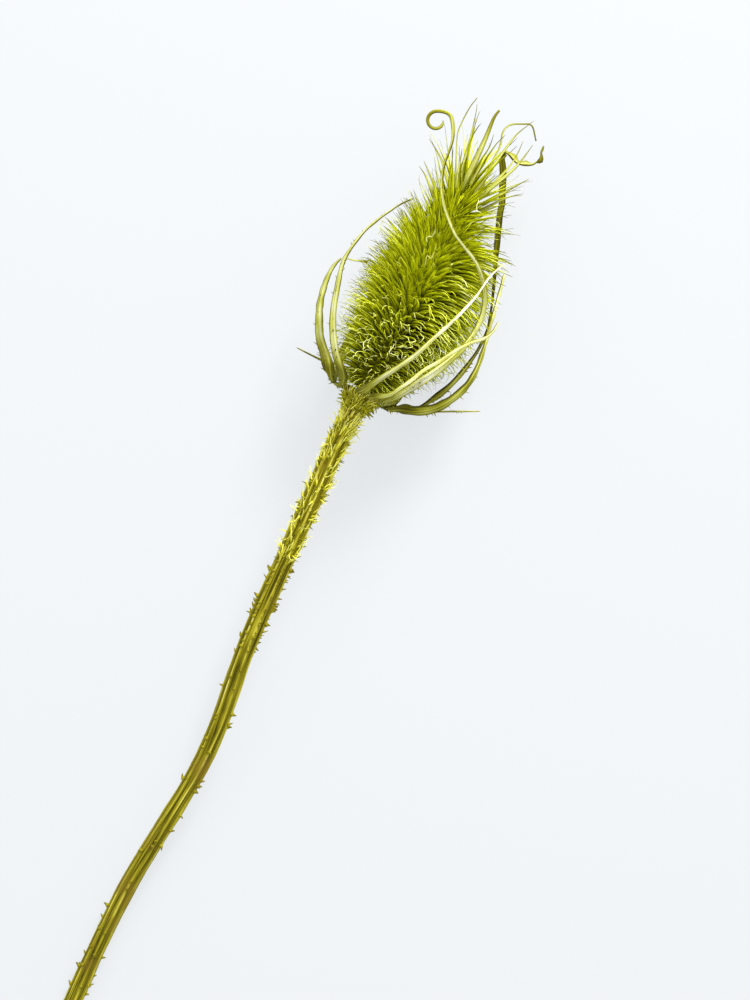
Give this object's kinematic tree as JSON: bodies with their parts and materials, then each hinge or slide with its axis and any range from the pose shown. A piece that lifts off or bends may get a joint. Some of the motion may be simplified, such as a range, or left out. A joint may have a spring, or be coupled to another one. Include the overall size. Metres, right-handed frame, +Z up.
{
  "type": "dried teasel head",
  "caption": "Dried, dyed teasel seed head lying on its side: an egg-shaped spiny head with a tuft, long curling bracts round it, on a prickly ribbed cut stem.",
  "frame": {"origin": "on the surface the plant lies on, below the middle of its whole box", "axes": "+X runs along the stem towards the tip of the head, +Z is up, +Y is to the left seen from above with the tip ahead"},
  "size_m": [0.3025, 0.0572, 0.0426],
  "materials": {
    "spines": "dry, matt, yellow-green dyed",
    "stem": "dry, matt, olive",
    "bracts": "dry, slightly silky, pale yellow-green"
  },
  "bodies": {
    "root": {"spiny_head": "spines", "stem": "stem", "bract_front": "bracts", "bract_left_inner": "bracts", "bract_left_outer": "bracts", "bract_left_spreading": "bracts", "bract_under_left": "bracts", "bract_under_right": "bracts", "bract_right_spreading": "bracts", "bract_right_back": "bracts", "bract_right_outer": "bracts", "bract_right_low": "bracts", "bract_curled": "bracts"}
  },
  "joints": []
}
